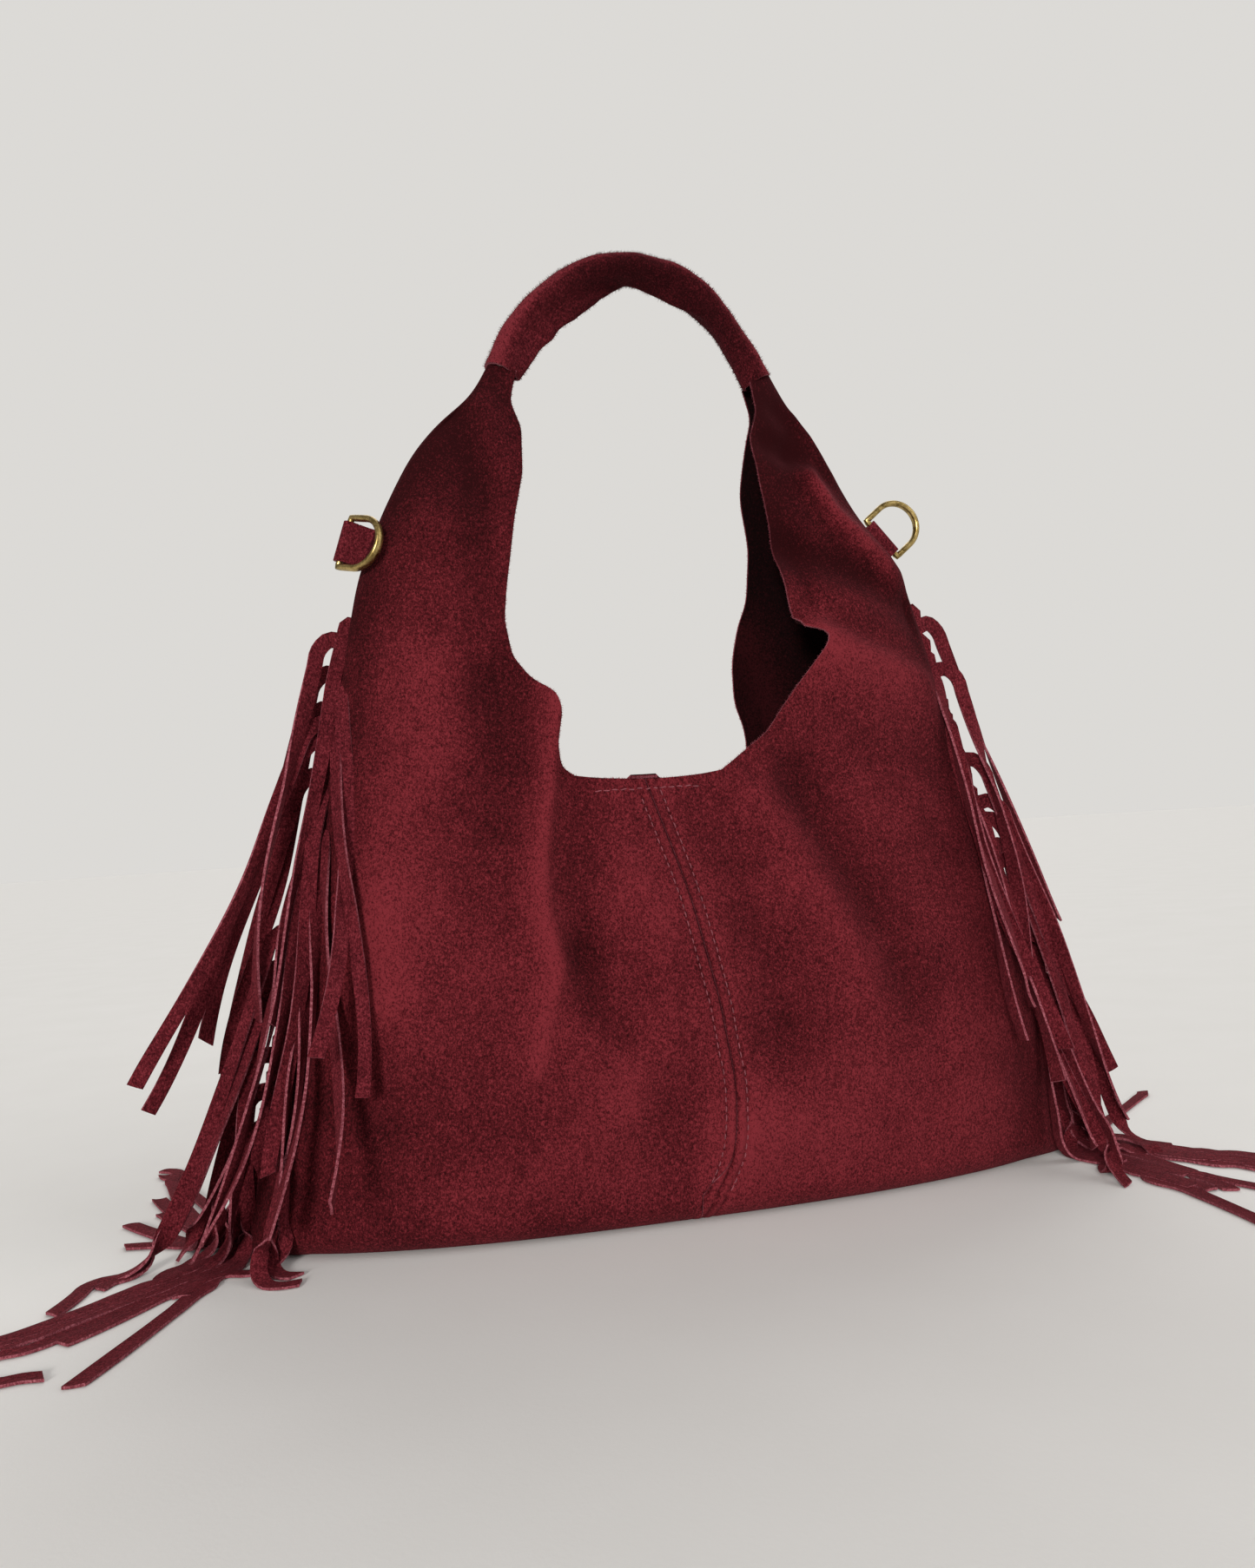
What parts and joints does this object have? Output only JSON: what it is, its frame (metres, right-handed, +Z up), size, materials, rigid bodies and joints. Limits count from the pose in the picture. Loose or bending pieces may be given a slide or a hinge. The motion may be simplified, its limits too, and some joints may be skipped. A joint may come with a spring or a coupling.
{
  "type": "hobo bag",
  "caption": "Slouchy suede hobo bag with a tubular shoulder handle, fringed side seams, metal rings in side tabs and a magnetic snap at the mouth.",
  "frame": {"origin": "on the ground under the bag, where the base seam crosses the middle between the two side seams' lower corners", "axes": "+X to the right across the front, +Y from front to back, +Z up"},
  "size_m": [0.6474, 0.3126, 0.4825],
  "materials": {
    "suede": "napped burgundy suede",
    "suede_inside": "rough flesh side of burgundy suede",
    "fringe_suede": "napped suede with paler cut edges",
    "antique_brass": "satin antique",
    "snap_steel": "plated, satin",
    "cotton_rope": "twisted cotton",
    "thread": "waxed sewing thread"
  },
  "bodies": {
    "bag": {"front_left_panel": "suede", "front_right_panel": "suede", "back_left_panel": "suede", "back_right_panel": "suede", "front_seam_strip": "suede_inside", "back_seam_strip": "suede_inside", "front_facing": "suede_inside", "back_facing": "suede_inside", "snap_socket": "snap_steel", "snap_stud": "snap_steel", "socket_washer": "snap_steel", "stud_washer": "snap_steel", "left_ring_tab": "suede", "right_ring_tab": "suede", "left_fringe_header": "fringe_suede", "right_fringe_header": "fringe_suede", "left_lower_strands": "fringe_suede", "right_lower_strands": "fringe_suede"},
    "handle": {"handle_sleeve": "suede", "handle_core": "cotton_rope"},
    "left_d_ring": {"left_ring": "antique_brass"},
    "right_d_ring": {"right_ring": "antique_brass"},
    "left_fringe": {"left_upper_strands": "fringe_suede"},
    "right_fringe": {"right_upper_strands": "fringe_suede"}
  },
  "joints": [
    {"name": "handle_fold", "type": "hinge", "parent": "bag", "child": "handle", "pos_m": [0, 0, 0.411], "axis": [1, 0, 0], "range_deg": [-70, 70]},
    {"name": "left_ring_turn", "type": "hinge", "parent": "bag", "child": "left_d_ring", "pos_m": [-0.149, 0, 0.333], "axis": [0.309, 0, 0.9511], "range_deg": [-250, 3]},
    {"name": "right_ring_turn", "type": "hinge", "parent": "bag", "child": "right_d_ring", "pos_m": [0.132, 0, 0.332], "axis": [-0.6428, 0, 0.766], "range_deg": [-104, 120]},
    {"name": "left_fringe_swing", "type": "hinge", "parent": "bag", "child": "left_fringe", "pos_m": [-0.1695, 0, 0.205], "axis": [0.1912, 0, 0.9815], "range_deg": [-30, 30]},
    {"name": "right_fringe_swing", "type": "hinge", "parent": "bag", "child": "right_fringe", "pos_m": [0.1725, 0, 0.205], "axis": [-0.2514, 0, 0.9679], "range_deg": [-30, 30]}
  ]
}
